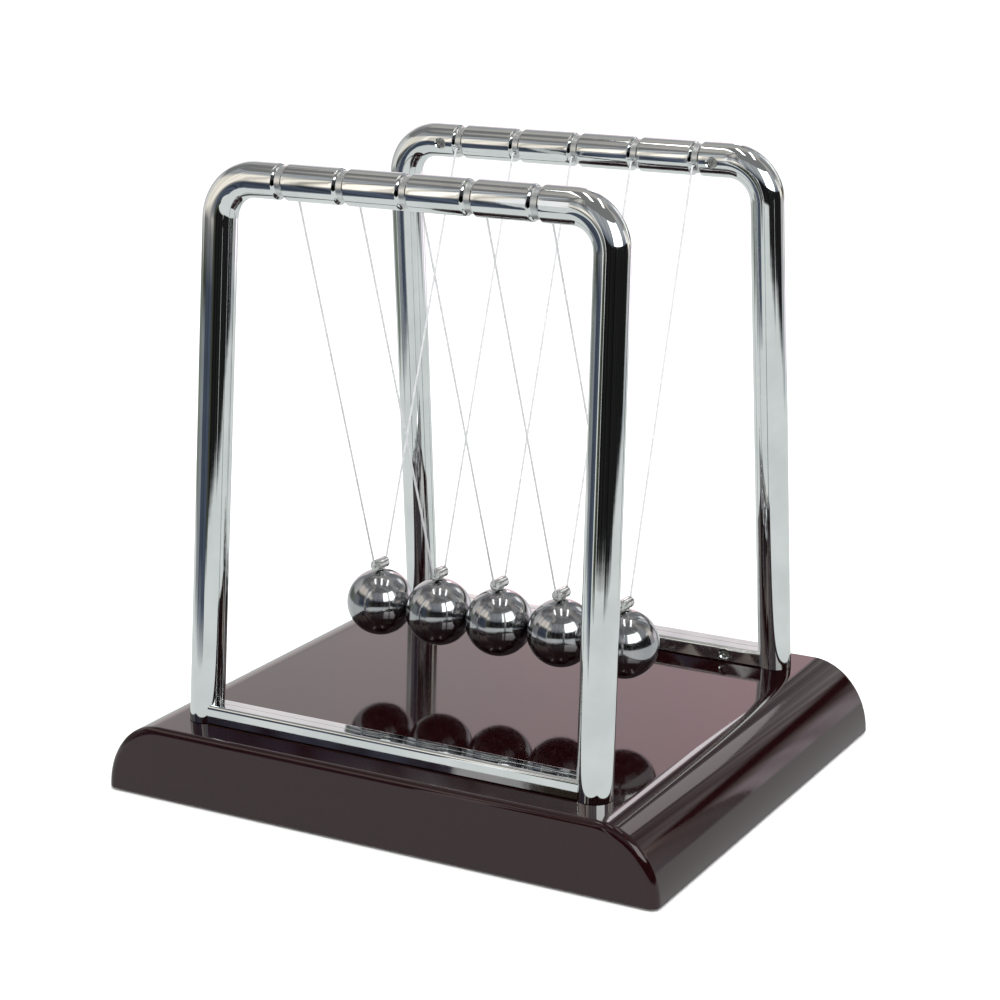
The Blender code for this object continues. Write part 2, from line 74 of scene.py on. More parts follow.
# Frames: tube bent into an upright loop, split into two half shells.
TUBE_RADIUS = 5.0 * MM
TUBE_WALL = 1.3 * MM
BEND_RADIUS = 11.5 * MM
BEND_STEPS = 32
LEG_STEPS = 24
RING_STEPS = 48
FRAME_FOOT = Vector((62.4, 60.7, 0.0)) * MM
FRAME_TOP = Vector((60.2, 48.9, 0.0)) * MM
BAR_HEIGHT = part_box("front_frame_outer_shell")[1][2] - TUBE_RADIUS
RAIL_HEIGHT = 5.2 * MM
RAIL_DEPTH = 8.6 * MM
RAIL_EDGE_RADIUS = 1.1 * MM
RAIL_FOOT_CHAMFER = 0.3 * MM
RAIL_SPACING = 20 * MM
RAIL_IN_LEG = 2.0 * MM
SEAM_GAP = 0.08 * MM
SEAM_ROUNDING = 0.12 * MM
GROOVE_HALF_WIDTH = 1.75 * MM
GROOVE_DEPTH = 0.7 * MM
GROOVE_STEP = 0.9 * MM
GROOVE_STATIONS = 28
# Heights above the bar's middle between which a groove's walls carry painted shade, a near-black
# chrome.
GROOVE_SHADE_LOW = -0.4 * MM
GROOVE_SHADE_HIGH = 2.4 * MM
BAR_SCREW_X = 45.0 * MM
RAIL_SCREW_PLACE = (47.5 * MM, 2.9 * MM)
HOLE_CHAMFER = 0.35 * MM
# The chamfer's cone goes on past the surface, because a cutter ring level with it cuts badly.
HOLE_OVERSHOOT = 0.23 * MM
CUTTER_REACH = 2 * MM
SEAT_GAP = 0.15 * MM
LEAN = math.atan2(FRAME_FOOT.y - FRAME_TOP.y, BAR_HEIGHT - BASE_TOP)
FRAME_RISE = math.hypot(FRAME_FOOT.y - FRAME_TOP.y, BAR_HEIGHT - BASE_TOP)
# (place along, height up, surface depth, hole depth, hole radius) in a frame's own space.
SCREW_HOLES = [
    (BAR_SCREW_X, FRAME_RISE, TUBE_RADIUS, 1.1 * MM, 1.6 * MM),
    (*RAIL_SCREW_PLACE, RAIL_DEPTH / 2, 1.6 * MM, 1.4 * MM),
]
FRAME_SCREW_PLAY = 0.15 * MM
FRAME_SCREW_HEAD = 0.5 * MM
FRAME_SCREW_SHANK = 0.8 * MM
FRAME_SCREW_LENGTH = 4.5 * MM
PLATE_SCREW_RADIUS = 2.2 * MM
PLATE_SCREW_HEAD = 1.6 * MM
PLATE_SCREW_SHANK = 1.0 * MM
SCREW_POINT = 1.5 * MM

# Pendulums, read from their nodes and joints.
BALL_BODIES = [f"pendulum_{number}" for number in range(1, 6)]
PIVOTS = {joint["child"]: Vector(joint["pos_m"]) for joint in frame["joints"]}
EYE_RADIUS = 1.7 * MM
EYE_BORE = 0.5 * MM
EYE_LENGTH = 5.8 * MM
EYE_ABOVE_BALL = 1.8 * MM
BALL_SOCKET_RADIUS = 1.0 * MM
BALL_SOCKET_DEPTH = 2.6 * MM
STUD_RADIUS = 0.75 * MM
STUD_LENGTH = 2.0 * MM
COLLAR_RADIUS = 1.35 * MM
SLOT_HALF_WIDTH = 0.22 * MM
LINE_RADIUS = 0.31 * MM
LINE_BEND_RADIUS = 0.5 * MM
LINE_BEND_STEPS = 6
LINE_END_INSIDE = 2.2 * MM
LINE_HOLE_RADIUS = 0.55 * MM
LINE_HOLE_START = FRAME_TOP.y - 1.5 * MM
LINE_HOLE_LENGTH = 5 * MM

STAND = "stand"
SMOOTH_ANGLE = math.radians(40)


# ---------------------------------------------------------------- mesh helpers


def add_piece(name, data, material, body, slot, *nodes):
    """A visible piece that rides a body and stands for the CAD nodes named."""
    piece = bpy.data.objects.new(name, data)
    bpy.context.scene.collection.objects.link(piece)
    if not data.materials:
        data.materials.append(material)
    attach(piece, body)
    if nodes:
        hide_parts(*nodes)
    return piece


def finish_mesh(name, bm, smooth_angle=SMOOTH_ANGLE):
    bmesh.ops.remove_doubles(bm, verts=bm.verts, dist=0.0005 * MM)
    bmesh.ops.recalc_face_normals(bm, faces=bm.faces)
    mesh = bpy.data.meshes.new(name)
    bm.to_mesh(mesh)
    bm.free()
    mesh.shade_smooth()
    mesh.set_sharp_from_angle(angle=smooth_angle)
    return mesh


def loft(bm, rings):
    """Skin closed rings of equal length, cap both ends, and give the faces row by row."""
    loops = [[bm.verts.new(point) for point in ring] for ring in rings]
    count = len(rings[0])
    faces = []
    for near, far in zip(loops, loops[1:]):
        row = []
        for i in range(count):
            j = (i + 1) % count
            row.append(bm.faces.new((near[i], near[j], far[j], far[i])))
        faces.append(row)
    bm.faces.new(loops[0])
    bm.faces.new(loops[-1])
    return faces


def turned_mesh(name, profile, segments, place):
    """Turn a profile of (radius, height) about Z, and put it in place with a matrix."""
    bm = bmesh.new()
    points = [bm.verts.new(place @ Vector((radius, 0, height))) for radius, height in profile]
    edges = [bm.edges.new(pair) for pair in zip(points, points[1:])]
    bmesh.ops.spin(
        bm,
        geom=points + edges,
        cent=place.translation,
        axis=place.to_3x3() @ Vector((0, 0, 1)),
        angle=2 * math.pi,
        steps=segments,
        use_merge=True,
    )
    return finish_mesh(name, bm)


def rounded_profile(corners, steps=5):
    """A (radius, height) profile whose corners, given as (r, z, rounding), are turned to arcs."""
    points = [corners[0][:2]]
    for before, corner, after in zip(corners, corners[1:], corners[2:]):
        if not corner[2]:
            points.append(corner[:2])
            continue
        places = [Vector(each[:2]) for each in (before, corner, after)]
        points += [tuple(point) for point in corner_arc(*places, corner[2], steps)]
    return points + [corners[-1][:2]]


def corner_arc(before, corner, after, radius, steps):
    """Points of the arc that rounds a corner off, from the run before it to the run after it."""
    back = (before - corner).normalized()
    ahead = (after - corner).normalized()
    half = back.angle(ahead) / 2
    centre = corner + (back + ahead).normalized() * radius / math.sin(half)
    start = corner + back * radius / math.tan(half) - centre
    end = corner + ahead * radius / math.tan(half) - centre
    return [centre + arc_between(start, end, step / steps) for step in range(steps + 1)]


def arc_between(start, end, t):
    """The vector a share t of the way round the arc from start to end, about the origin."""
    sweep = start.angle(end)
    return (start * math.sin((1 - t) * sweep) + end * math.sin(t * sweep)) / math.sin(sweep)


def facing(place, direction, roll=0.0):
    """A matrix at a place whose Z points along a direction."""
    turn = Vector(direction).to_track_quat("Z", "Y").to_matrix().to_4x4()
    return Matrix.Translation(place) @ turn @ Matrix.Rotation(roll, 4, "Z")


def box_mesh(name, low, high, place):
    """A box between two corners, put in place with a matrix."""
    bm = bmesh.new()
    bmesh.ops.create_cube(bm, size=1.0)
    middle = (Vector(low) + Vector(high)) / 2
    size = Vector(high) - Vector(low)
    for vert in bm.verts:
        vert.co = Vector(a * b for a, b in zip(vert.co, size)) + middle
        vert.co = place @ vert.co
    return finish_mesh(name, bm)


def boolean(target, cutter, operation):
    """Combine two meshes with the exact solver, and give the result as a new mesh."""
    names = (f"{target.name}_work", f"{cutter.name}_work")
    works = [bpy.data.objects.new(name, mesh) for name, mesh in zip(names, (target, cutter))]
    for work in works:
        bpy.context.scene.collection.objects.link(work)
    modifier = works[0].modifiers.new("cut", "BOOLEAN")
    modifier.operation = operation
    modifier.solver = "EXACT"
    modifier.object = works[1]
    graph = bpy.context.evaluated_depsgraph_get()
    result = bpy.data.meshes.new_from_object(works[0].evaluated_get(graph))
    result.name = target.name
    for work in works:
        bpy.data.objects.remove(work)
    return result


def settle_normals(mesh, smooth_angle=SMOOTH_ANGLE):
    mesh.shade_smooth()
    mesh.set_sharp_from_angle(angle=smooth_angle)
    return mesh


def add_weighted_normals(piece):
    modifier = piece.modifiers.new("normals", "WEIGHTED_NORMAL")
    modifier.keep_sharp = True
    modifier.weight = 100


# ---------------------------------------------------------------- materials


BURGUNDY_SHEEN = (1.0, 0.89, 0.92, 1.0)
CHROME_LOW = (0.70, 0.72, 0.72)
CHROME_HIGH = (0.78, 0.79, 0.79)
# Near-black chrome colours for the painted shade on the walls of each groove.
PAINTED_SHADE_CHROME_LOW = (0.008, 0.008, 0.009)
PAINTED_SHADE_CHROME_HIGH = (0.016, 0.016, 0.018)


class Look:
    """A material with its Principled shader, and short ways to add procedural nodes."""

    def __init__(self, name, colour, roughness, metallic=0.0):
        self.material = bpy.data.materials.new(name)
        self.material.use_nodes = True
        self.nodes = self.material.node_tree.nodes
        self.links = self.material.node_tree.links
        self.shader = self.nodes["Principled BSDF"]
        self.set("Base Color", (*colour, 1.0))
        self.set("Roughness", roughness)
        self.set("Metallic", metallic)
        self.place = self.nodes.new("ShaderNodeTexCoord").outputs["Object"]

    def set(self, socket, value):
        self.shader.inputs[socket].default_value = value

    def noise(self, size, detail=3.0, roughness=0.5):
        """Noise whose features are about the given size in metres."""
        mapping = self.nodes.new("ShaderNodeMapping")
        mapping.inputs["Scale"].default_value = [1 / size] * 3
        self.links.new(self.place, mapping.inputs["Vector"])
        texture = self.nodes.new("ShaderNodeTexNoise")
        texture.inputs["Scale"].default_value = 1.0
        texture.inputs["Detail"].default_value = detail
        texture.inputs["Roughness"].default_value = roughness
        self.links.new(mapping.outputs["Vector"], texture.inputs["Vector"])
        return texture.outputs["Fac"]

    def specks(self, size):
        """Voronoi distance: 0 at the middle of each speck's cell."""
        texture = self.nodes.new("ShaderNodeTexVoronoi")
        texture.inputs["Scale"].default_value = 1 / size
        self.links.new(self.place, texture.inputs["Vector"])
        return texture.outputs["Distance"]

    def blend(self, factor, low, high, stops=(0.35, 0.65)):
        """A colour between two colours, by a factor."""
        ramp = self.nodes.new("ShaderNodeValToRGB")
        ramp.color_ramp.elements[0].position = stops[0]
        ramp.color_ramp.elements[1].position = stops[1]
        ramp.color_ramp.elements[0].color = (*low, 1.0)
        ramp.color_ramp.elements[1].color = (*high, 1.0)
        self.links.new(factor, ramp.inputs["Fac"])
        return ramp.outputs["Color"]

    def spread(self, factor, low, high, stops=(0.3, 0.7)):
        """A number between low and high, by a factor."""
        span = self.nodes.new("ShaderNodeMapRange")
        span.inputs["From Min"].default_value = stops[0]
        span.inputs["From Max"].default_value = stops[1]
        span.inputs["To Min"].default_value = low
        span.inputs["To Max"].default_value = high
        self.links.new(factor, span.inputs["Value"])
        return span.outputs["Result"]

    def colour(self, output):
        self.links.new(output, self.shader.inputs["Base Color"])

    def roughness(self, output):
        self.links.new(output, self.shader.inputs["Roughness"])

    def bump(self, height, distance):
        bump = self.nodes.new("ShaderNodeBump")
        bump.inputs["Distance"].default_value = distance
        self.links.new(height, bump.inputs["Height"])
        self.links.new(bump.outputs["Normal"], self.shader.inputs["Normal"])


def burgundy_look():
    """Glossy moulded plastic: nearly black burgundy with a fine fleck under the gloss."""
    look = Look("burgundy_gloss", (0.022, 0.005, 0.005), 0.05)
    look.set("Specular Tint", BURGUNDY_SHEEN)
    look.set("Specular IOR Level", 0.57)
    fleck = look.noise(0.5 * MM, 4.0, 0.7)
    look.colour(look.blend(fleck, (0.0045, 0.0008, 0.0010), (0.014, 0.0026, 0.0032), (0.36, 0.68)))
    look.roughness(look.spread(look.noise(1.2 * MM, 4.0, 0.6), 0.03, 0.085))
    look.bump(look.noise(24 * MM, 0.0), 0.010 * MM)
    return look.material


def chrome_look(name, roughness_low, roughness_high, low=CHROME_LOW, high=CHROME_HIGH):
    """Plated plastic: bright, with faint waves from the moulding and a soft haze in patches."""
    look = Look(name, high, roughness_low, 1.0)
    look.colour(look.blend(look.noise(12 * MM), low, high))
    look.roughness(look.spread(look.noise(5 * MM, 4.0), roughness_low, roughness_high))
    look.bump(look.noise(7 * MM, 2.0), 0.012 * MM)
    return look.material


def steel_look():
    """Polished ball steel, with a haze of polishing marks too fine to see one by one."""
    look = Look("ball_steel", (0.43, 0.43, 0.44), 0.06, 1.0)
    look.colour(look.blend(look.noise(6 * MM), (0.39, 0.39, 0.405), (0.47, 0.47, 0.48)))
    look.roughness(look.spread(look.noise(0.12 * MM, 3.0, 0.7), 0.065, 0.36, (0.50, 0.70)))
    look.bump(look.noise(2.5 * MM, 2.0), 0.002 * MM)
    return look.material


def zinc_look():
    look = Look("zinc_screw", (0.55, 0.55, 0.53), 0.3, 1.0)
    look.colour(look.blend(look.noise(0.8 * MM), (0.42, 0.42, 0.40), (0.66, 0.66, 0.63)))
    look.roughness(look.spread(look.noise(0.3 * MM, 4.0), 0.22, 0.42))
    return look.material


def nickel_look():
    look = Look("hanger_nickel", (0.62, 0.62, 0.60), 0.16, 1.0)
    look.colour(look.blend(look.noise(1.2 * MM), (0.50, 0.50, 0.49), (0.72, 0.72, 0.70)))
    look.roughness(look.spread(look.noise(0.4 * MM, 4.0), 0.10, 0.26))
    return look.material


def rubber_look():
    look = Look("foot_rubber", (0.022, 0.022, 0.022), 0.8)
    look.colour(look.blend(look.noise(1.0 * MM, 5.0), (0.016, 0.016, 0.016), (0.034, 0.033, 0.032)))
    look.roughness(look.spread(look.noise(0.6 * MM), 0.7, 0.9))
    look.bump(look.noise(0.25 * MM, 3.0), 0.03 * MM)
    return look.material


def plate_look():
    """Black plastic with the fine spark-eroded grain of an unseen underside."""
    look = Look("plate_plastic", (0.018, 0.018, 0.019), 0.5)
    look.colour(look.blend(look.noise(3 * MM), (0.014, 0.014, 0.015), (0.026, 0.026, 0.027)))
    look.roughness(look.spread(look.noise(1.0 * MM), 0.42, 0.6))
    look.bump(look.specks(0.35 * MM), 0.02 * MM)
    return look.material


def nylon_look():
    """Clear monofilament, which looks pale grey at so fine a gauge."""
    look = Look("clear_nylon", (0.45, 0.46, 0.47), 0.3)
    look.colour(look.blend(look.noise(2 * MM), (0.46, 0.47, 0.48), (0.56, 0.57, 0.58)))
    look.roughness(look.spread(look.noise(0.8 * MM), 0.22, 0.4))
    return look.material


# ---------------------------------------------------------------- base


def rounding(distance, radius):
    """How far a rounded edge stands back, at a distance in from the flat face beside it."""
    if distance >= radius:
        return 0.0
    return radius - math.sqrt(radius**2 - (radius - distance) ** 2)


def base_section(y, inset):
    """The base's outline across X at one depth, from the right rim over the top to the left."""
    from_face = HALF_DEPTH - inset - abs(y)
    half_length = HALF_LENGTH - inset - rounding(from_face, CORNER_RADIUS - inset)
    edge_radius = max(TOP_EDGE_RADIUS - inset, LEAST_EDGE_RADIUS)
    top = BASE_TOP - inset - rounding(from_face, edge_radius)
    roll = ROLL_LENGTH - inset
    rise = top - RIM_BOTTOM
    angles = [math.pi / 2 * step / ROLL_STEPS for step in range(ROLL_STEPS + 1)]
    right = [(half_length - roll * (1 - math.cos(a)), RIM_BOTTOM + rise * math.sin(a)) for a in angles]
    flat = half_length - roll
    top_points = [(flat * (1 - 2 * step / FLAT_STEPS), top) for step in range(1, FLAT_STEPS)]
    outline = right + top_points + [(-x, z) for x, z in reversed(right)]
    return [Vector((x, y, z)) for x, z in outline]


def face_stations(inset):
    """Depths across the base, close together where the corners and edges round off."""
    face = HALF_DEPTH - inset
    radius = CORNER_RADIUS - inset
    angles = [math.pi / 2 * step / CORNER_STEPS for step in range(CORNER_STEPS + 1)]
    rounded = [radius * (1 - math.cos(angle)) for angle in angles]
    flat = [face - radius - (face - radius) * 2 * step / FLAT_STEPS for step in range(1, FLAT_STEPS)]
    front = [depth - face for depth in rounded]
    rear = [face - depth for depth in reversed(rounded)]
    return front + [-y for y in flat] + rear


def base_skin(bm, inset):
    """One side of the cover's wall, open below. Gives the loop of vertices along its rim."""
    rows = []
    for y in face_stations(inset):
        rows.append([bm.verts.new(point) for point in base_section(y, inset)])
    for near, far in zip(rows, rows[1:]):
        for i in range(len(near) - 1):
            bm.faces.new((near[i], near[i + 1], far[i + 1], far[i]))
    bm.faces.new(rows[0])
    bm.faces.new(rows[-1])
    right_side = [row[0] for row in rows]
    left_side = [row[-1] for row in reversed(rows)]
    return right_side + left_side


def make_base_cover(material):
    """A hollow cover: outer skin, inner skin, and the flat rim that joins them."""
    bm = bmesh.new()
    outer = base_skin(bm, 0.0)
    inner = base_skin(bm, COVER_WALL)
    for i in range(len(outer)):
        j = (i + 1) % len(outer)
        bm.faces.new((outer[i], outer[j], inner[j], inner[i]))
    mesh = finish_mesh("base_cover_gloss", bm, math.radians(50))
    piece = add_piece("base_cover_gloss", mesh, material, STAND, "burgundy_gloss", "base_cover")
    add_weighted_normals(piece)


def make_feet(material):
    """Stick-on rubber feet with a rounded edge and a shallow dish under each."""
    for end, side in CORNERS:
        node = f"rubber_foot_{end}_{side}"
        low, high = (Vector(corner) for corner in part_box(node))
        centre = (low + high) / 2
        radius = (high.x - low.x) / 2
        height = high.z - low.z
        corners = [
            (0, FOOT_DISH, 0),
            (radius * 0.55, FOOT_DISH, 0.1 * MM),
            (radius * 0.62, 0, 0.1 * MM),
            (radius, 0, 0.35 * MM),
            (radius, height, 0.2 * MM),
            (0, height, 0),
        ]
        place = Matrix.Translation((centre.x, centre.y, low.z))
        mesh = turned_mesh(f"{end}_{side}_foot", rounded_profile(corners), 48, place)
        add_piece(f"{end}_{side}_foot", mesh, material, STAND, "black_rubber", node)


# ---------------------------------------------------------------- screws


def screw_mesh(name, place, head_radius, head_height, countersunk, shank_radius, length):
    """A screw, head along its place's +Z with its seat at the origin, with a cross recess."""
    corners = [(0, -length, 0), (0.15 * shank_radius, -length, 0)]
    corners += [(shank_radius, -length + SCREW_POINT, 0.2 * MM)]
    if countersunk:
        top = 0.0
        corners += [(shank_radius, -head_height, 0), (head_radius, -0.2 * MM, 0.05 * MM)]
        corners += [(head_radius, top, 0.08 * MM), (0, top, 0)]
    else:
        top = head_height
        corners += [(shank_radius, 0, 0), (head_radius, 0, 0.05 * MM)]
        corners += [(head_radius, top, 0.45 * head_height), (0, top, 0)]
    screw = turned_mesh(name, rounded_profile(corners), 32, place)
    arm = 0.62 * head_radius
    half = 0.16 * head_radius
    floor = top - 0.45 * arm
    slot = box_mesh(f"{name}_slot", (-arm, -half, floor), (arm, half, top + arm), place)
    cross_slot = box_mesh(f"{name}_cross_slot", (-half, -arm, floor), (half, arm, top + arm), place)
    screw = boolean(screw, slot, "DIFFERENCE")
    return settle_normals(boolean(screw, cross_slot, "DIFFERENCE"))


def make_plate_screws(material):
    """Countersunk screws, heads down, that hold the bottom plate."""
    head = (PLATE_SCREW_RADIUS, PLATE_SCREW_HEAD)
    for end, side in CORNERS:
        node = f"plate_screw_{end}_{side}"
        low, high = (Vector(corner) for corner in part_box(node))
        centre = (low + high) / 2
        place = facing((centre.x, centre.y, low.z), (0, 0, -1), 0.7)
        name = f"{end}_{side}_plate_screw"
        mesh = screw_mesh(name, place, *head, True, PLATE_SCREW_SHANK, high.z - low.z)
        add_piece(name, mesh, material, STAND, "zinc_steel", node)


# ---------------------------------------------------------------- frames


def frame_place(label):
    """The frame's own space: -Y outwards, Z up along the leaning legs, origin at its foot."""
    turn = 0.0 if label == "front" else math.pi
    side = -1 if label == "front" else 1
    place = Matrix.Translation((0, side * FRAME_FOOT.y, BASE_TOP))
    return place @ Euler((-LEAN, 0, turn)).to_matrix().to_4x4()


def groove_places():
    return sorted(pivot.x for pivot in PIVOTS.values())


def step_height(t):
    """A smooth step from 0 to 1 as t runs from 0 to 1."""
    t = min(max(t, 0.0), 1.0)
    return t * t * (3 - 2 * t)


def groove_depth(x):
    """How deep the bar's surface lies under the plain tube, at a place along the bar."""
    nearest = min(abs(x - place) for place in groove_places())
    return GROOVE_DEPTH * step_height((GROOVE_HALF_WIDTH - nearest) / GROOVE_STEP)


def bar_stations():
    """Places along the top bar, close together across each groove."""
    span = GROOVE_HALF_WIDTH + 0.1 * MM
    steps = range(GROOVE_STATIONS + 1)
    places = []
    for groove in groove_places():
        places += [groove - span + 2 * span * step / GROOVE_STATIONS for step in steps]
    edge = FRAME_TOP.x - BEND_RADIUS - 0.5 * MM
    spans = [-edge] + places + [edge]
    filled = []
    for here, after in zip(spans, spans[1:]):
        filled.append(here)
        if after - here > 2.5 * MM:
            pieces = int((after - here) / (1.2 * MM)) + 1
            filled += [here + (after - here) * step / pieces for step in range(1, pieces)]
    return filled + [edge]


def frame_route():
    """(centre, radius) stops of the tube in the frame's own space, from foot to foot."""
    corner = Vector((FRAME_TOP.x, 0, FRAME_RISE))
    foot = Vector((FRAME_FOOT.x, 0, 0))
    bar_middle = Vector((0, 0, FRAME_RISE))
    bend = corner_arc(foot, corner, bar_middle, BEND_RADIUS, BEND_STEPS)
    shares = [0.0, 0.02, 0.05, 0.1] + [0.1 + 0.9 * step / LEG_STEPS for step in range(1, LEG_STEPS)]
    leg = [foot + (bend[0] - foot) * share for share in shares]
    right = [(point, TUBE_RADIUS) for point in leg + bend]
    left = [(Vector((-point.x, 0, point.z)), radius) for point, radius in right]
    bar = [(Vector((x, 0, FRAME_RISE)), TUBE_RADIUS - groove_depth(x)) for x in bar_stations()]
    return left + bar + right[::-1]


def half_ring(radius):
    """(along the side, across the seam) outline of half a tube's wall, with softened lips."""
    lip = SEAM_GAP / 2
    soft = SEAM_ROUNDING
    edge = math.asin((lip + soft) / (radius - soft))
    points = []
    for step in range(RING_STEPS + 1):
        angle = -math.pi / 2 + edge + (math.pi - 2 * edge) * step / RING_STEPS
        points.append((radius * math.sin(angle), radius * math.cos(angle)))
    outer_lip = []
    for step in range(1, 5):
        angle = math.pi / 2 * step / 4
        side = radius - soft + soft * math.cos(angle)
        side -= radius - radius * math.cos(edge)
        outer_lip.append((side, lip + soft - soft * math.sin(angle)))
    inner = radius - TUBE_WALL
    inside = []
    for step in range(13):
        angle = math.pi / 2 - math.pi * step / 12
        inside.append((inner * math.sin(angle), max(inner * math.cos(angle), lip)))
    mirrored = [(-side, across) for side, across in reversed(outer_lip)]
    return points + outer_lip + inside + mirrored


def groove_material(least_cut, most_cut, face):
    """1 for a groove's satin floor, 2 for the painted shade on its walls, a near-black chrome."""
    if least_cut > 0.9:
        return 1
    rise = face.calc_center_median().z - BAR_HEIGHT
    return 2 if most_cut > 0.1 and GROOVE_SHADE_LOW < rise < GROOVE_SHADE_HIGH else 0


def tube_half(name, label, across_sign):
    """One half shell's tube: across_sign is -1 for the outer half and 1 for the inner."""
    place = frame_place(label)
    stops = frame_route()
    centres = [centre for centre, _ in stops]
    rings = []
    cuts = []
    for i, (centre, radius) in enumerate(stops):
        ahead = centres[min(i + 1, len(stops) - 1)]
        behind = centres[max(i - 1, 0)]
        forward = (ahead - behind).normalized()
        side = Vector((0, 1, 0)).cross(forward)
        ring = []
        for along, across in half_ring(radius):
            ring.append(place @ (centre + side * along + Vector((0, across_sign * across, 0))))
        if i in (0, len(stops) - 1):
            down = place.to_3x3() @ forward
            ring = [point + down * (BASE_TOP + SEAT_GAP - point.z) / down.z for point in ring]
        rings.append(ring)
        cuts.append((TUBE_RADIUS - radius) / GROOVE_DEPTH)
    bm = bmesh.new()
    rows = loft(bm, rings)
    for row, near, far in zip(rows, cuts, cuts[1:]):
        for face in row:
            face.material_index = groove_material(min(near, far), max(near, far), face)
    return finish_mesh(name, bm)


def rail_ring(x, across_sign):
    """Half of the bottom rail's outline at one place."""
    depth = RAIL_DEPTH / 2
    lip = SEAM_GAP / 2
    soft = SEAM_ROUNDING
    edge = RAIL_EDGE_RADIUS
    outline = [(lip, SEAT_GAP), (lip, RAIL_HEIGHT - soft)]
    outline += [(lip + soft * 0.3, RAIL_HEIGHT - soft * 0.3), (lip + soft, RAIL_HEIGHT)]
    for step in range(9):
        angle = math.pi / 2 * step / 8
        rise = RAIL_HEIGHT - edge + edge * math.cos(angle)
        outline.append((depth - edge + edge * math.sin(angle), rise))
    outline += [(depth, SEAT_GAP + RAIL_FOOT_CHAMFER), (depth - RAIL_FOOT_CHAMFER, SEAT_GAP)]
    return [Vector((x, across_sign * across, z)) for across, z in outline]


def rail_mesh(name, label, across_sign):
    """The rail's bottom is level with the base, so its points slide down the lean onto it."""
    place = frame_place(label)
    reach = FRAME_FOOT.x - TUBE_RADIUS
    right = [reach - RAIL_SPACING, reach + RAIL_IN_LEG]
    stations = [-x for x in reversed(right)] + [-RAIL_SPACING, 0.0, RAIL_SPACING] + right
    level = math.tan(LEAN)
    rings = []
    for x in stations:
        ring = []
        for point in rail_ring(x, across_sign):
            share = 1 - min(max((point.z - SEAT_GAP) / RAIL_HEIGHT, 0.0), 1.0)
            point.z += share * point.y * level
            ring.append(place @ point)
        rings.append(ring)
    bm = bmesh.new()
    loft(bm, rings)
    return finish_mesh(name, bm)


def frame_cutters(name, label):
    """One cutter for each hole in an inner shell: four screw recesses and five line holes."""
    place = frame_place(label)
    cutters = []
    for across, height, surface, depth, radius in SCREW_HOLES:
        wide = radius + HOLE_CHAMFER + HOLE_OVERSHOOT
        end = surface + CUTTER_REACH
        profile = [(0, surface - depth), (radius, surface - depth), (radius, surface - HOLE_CHAMFER)]
        profile += [(wide, surface + HOLE_OVERSHOOT), (wide, end), (0, end)]
        for sign in (-1, 1):
            turn = place @ facing((sign * across, 0, height), (0, 1, 0))
            cutters.append(turned_mesh(f"{name}_{len(cutters)}", profile, 48, turn))
    side = -1 if label == "front" else 1
    for pivot in PIVOTS.values():
        start = Vector((pivot.x, side * LINE_HOLE_START, pivot.z))
        profile = [(0, 0), (LINE_HOLE_RADIUS, 0)]
        profile += [(LINE_HOLE_RADIUS, LINE_HOLE_LENGTH), (0, LINE_HOLE_LENGTH)]
        turn = facing(start, (0, -side, 0))
        cutters.append(turned_mesh(f"{name}_{len(cutters)}", profile, 24, turn))
    return cutters


def make_frame_shells(label, materials):
    """Two half shells a frame, each a tube joined to its half of the bottom rail."""
    for half, across_sign in (("outer", -1), ("inner", 1)):
        name = f"{label}_{half}_chrome_shell"
        shell = tube_half(name, label, across_sign)
        for material in materials:
            shell.materials.append(material)
        shell = boolean(shell, rail_mesh(f"{name}_rail", label, across_sign), "UNION")
        if half == "inner":
            for cutter in frame_cutters(f"{name}_hole", label):
                shell = boolean(shell, cutter, "DIFFERENCE")
        settle_normals(shell, math.radians(32))
        node = f"{label}_frame_{half}_shell"
        piece = add_piece(name, shell, materials[0], STAND, "chrome_plate", node)
        add_weighted_normals(piece)


def make_frame_screws(label, material):
    """Each screw's head stands on the floor of its hole."""
    place = frame_place(label)
    turn = -1 if label == "front" else 1
    shank = (FRAME_SCREW_SHANK, FRAME_SCREW_LENGTH)
    for level, hole in zip(("top", "rail"), SCREW_HOLES):
        across, height, surface, depth, radius = hole
        head = (radius - FRAME_SCREW_PLAY, FRAME_SCREW_HEAD)
        for side, sign in (("left", -1), ("right", 1)):
            local = Vector((-sign * turn * across, surface - depth, height))
            seat = place @ facing(local, (0, 1, 0), 0.4 + sign)
            name = f"{label}_{level}_{side}_screw"
            mesh = screw_mesh(name, seat, *head, False, *shank)
            node = f"{label}_frame_screw_{level}_{side}"
            add_piece(name, mesh, material, STAND, "zinc_steel", node)


# ---------------------------------------------------------------- pendulums


def ball_facts(number):
    """The centre and the radius of a ball, from its node."""
    low, high = (Vector(corner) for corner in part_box(f"ball_{number}"))
    radius = (high.x - low.x) / 2
    return Vector(((low.x + high.x) / 2, (low.y + high.y) / 2, low.z + radius)), radius


def make_ball(number, material):
    """A ball with a small blind socket in its top for the hanger's stud."""
    centre, radius = ball_facts(number)
    rim = math.acos(BALL_SOCKET_RADIUS / radius)
    angles = [-math.pi / 2 + (rim + math.pi / 2) * step / RING_STEPS for step in range(RING_STEPS + 1)]
    profile = [(0, -radius)] + [(radius * math.cos(a), radius * math.sin(a)) for a in angles[1:]]
    floor = radius * math.sin(rim) - BALL_SOCKET_DEPTH
    profile += [(BALL_SOCKET_RADIUS, floor), (0, floor)]
    mesh = turned_mesh(f"steel_ball_{number}", profile, 96, Matrix.Translation(centre))
    body = BALL_BODIES[number - 1]
    add_piece(f"steel_ball_{number}", mesh, material, body, "polished_steel", f"ball_{number}")


